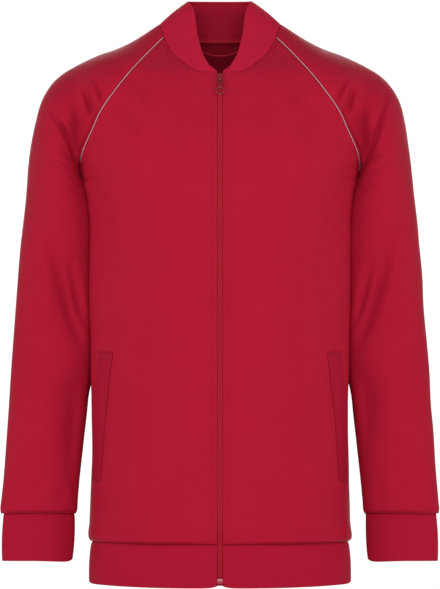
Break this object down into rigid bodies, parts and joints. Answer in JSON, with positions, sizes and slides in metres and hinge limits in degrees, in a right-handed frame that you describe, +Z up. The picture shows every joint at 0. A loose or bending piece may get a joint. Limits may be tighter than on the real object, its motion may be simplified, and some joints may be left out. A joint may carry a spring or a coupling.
{
  "type": "track jacket",
  "caption": "Hollow full-zip track jacket with raglan sleeves, rib stand collar, cuffs and hem, piped seams and slanted welt pockets; its ring pull swings.",
  "frame": {"origin": "the middle of the neck, level with the tops of the shoulders, where the wearer's shoulders carry the jacket", "axes": "+Z up, the front faces -Y, +X is the wearer's left"},
  "size_m": [0.5696, 0.2455, 0.762],
  "materials": {
    "shell_cloth": "knitted polyester tricot, soft sheen",
    "rib_knit": "fine 1x1 rib knit, matt",
    "piping": "light grey piping, satin",
    "tape": "woven tape, matt",
    "zip_coil": "moulded polyester coil",
    "zip_enamel": "glossy red enamel"
  },
  "bodies": {
    "jacket": {"front_left": "shell_cloth", "front_right": "shell_cloth", "back": "shell_cloth", "sleeve_left": "shell_cloth", "sleeve_right": "shell_cloth", "pocket_welt_left": "shell_cloth", "pocket_welt_right": "shell_cloth", "collar": "rib_knit", "hem_band": "rib_knit", "cuff_left": "rib_knit", "cuff_right": "rib_knit", "piping_left": "piping", "piping_right": "piping", "neck_tape": "tape", "hanger_loop": "tape", "zip_tape_left": "tape", "zip_tape_right": "tape", "zip_coil": "zip_coil", "zip_box": "zip_enamel", "zip_slider": "zip_enamel"},
    "pull": {"zip_pull": "zip_enamel"}
  },
  "joints": [
    {"name": "pull_swing", "type": "hinge", "parent": "jacket", "child": "pull", "pos_m": [0, -0.08747, -0.06488], "axis": [-1, 0, 0], "range_deg": [0, 150]}
  ]
}
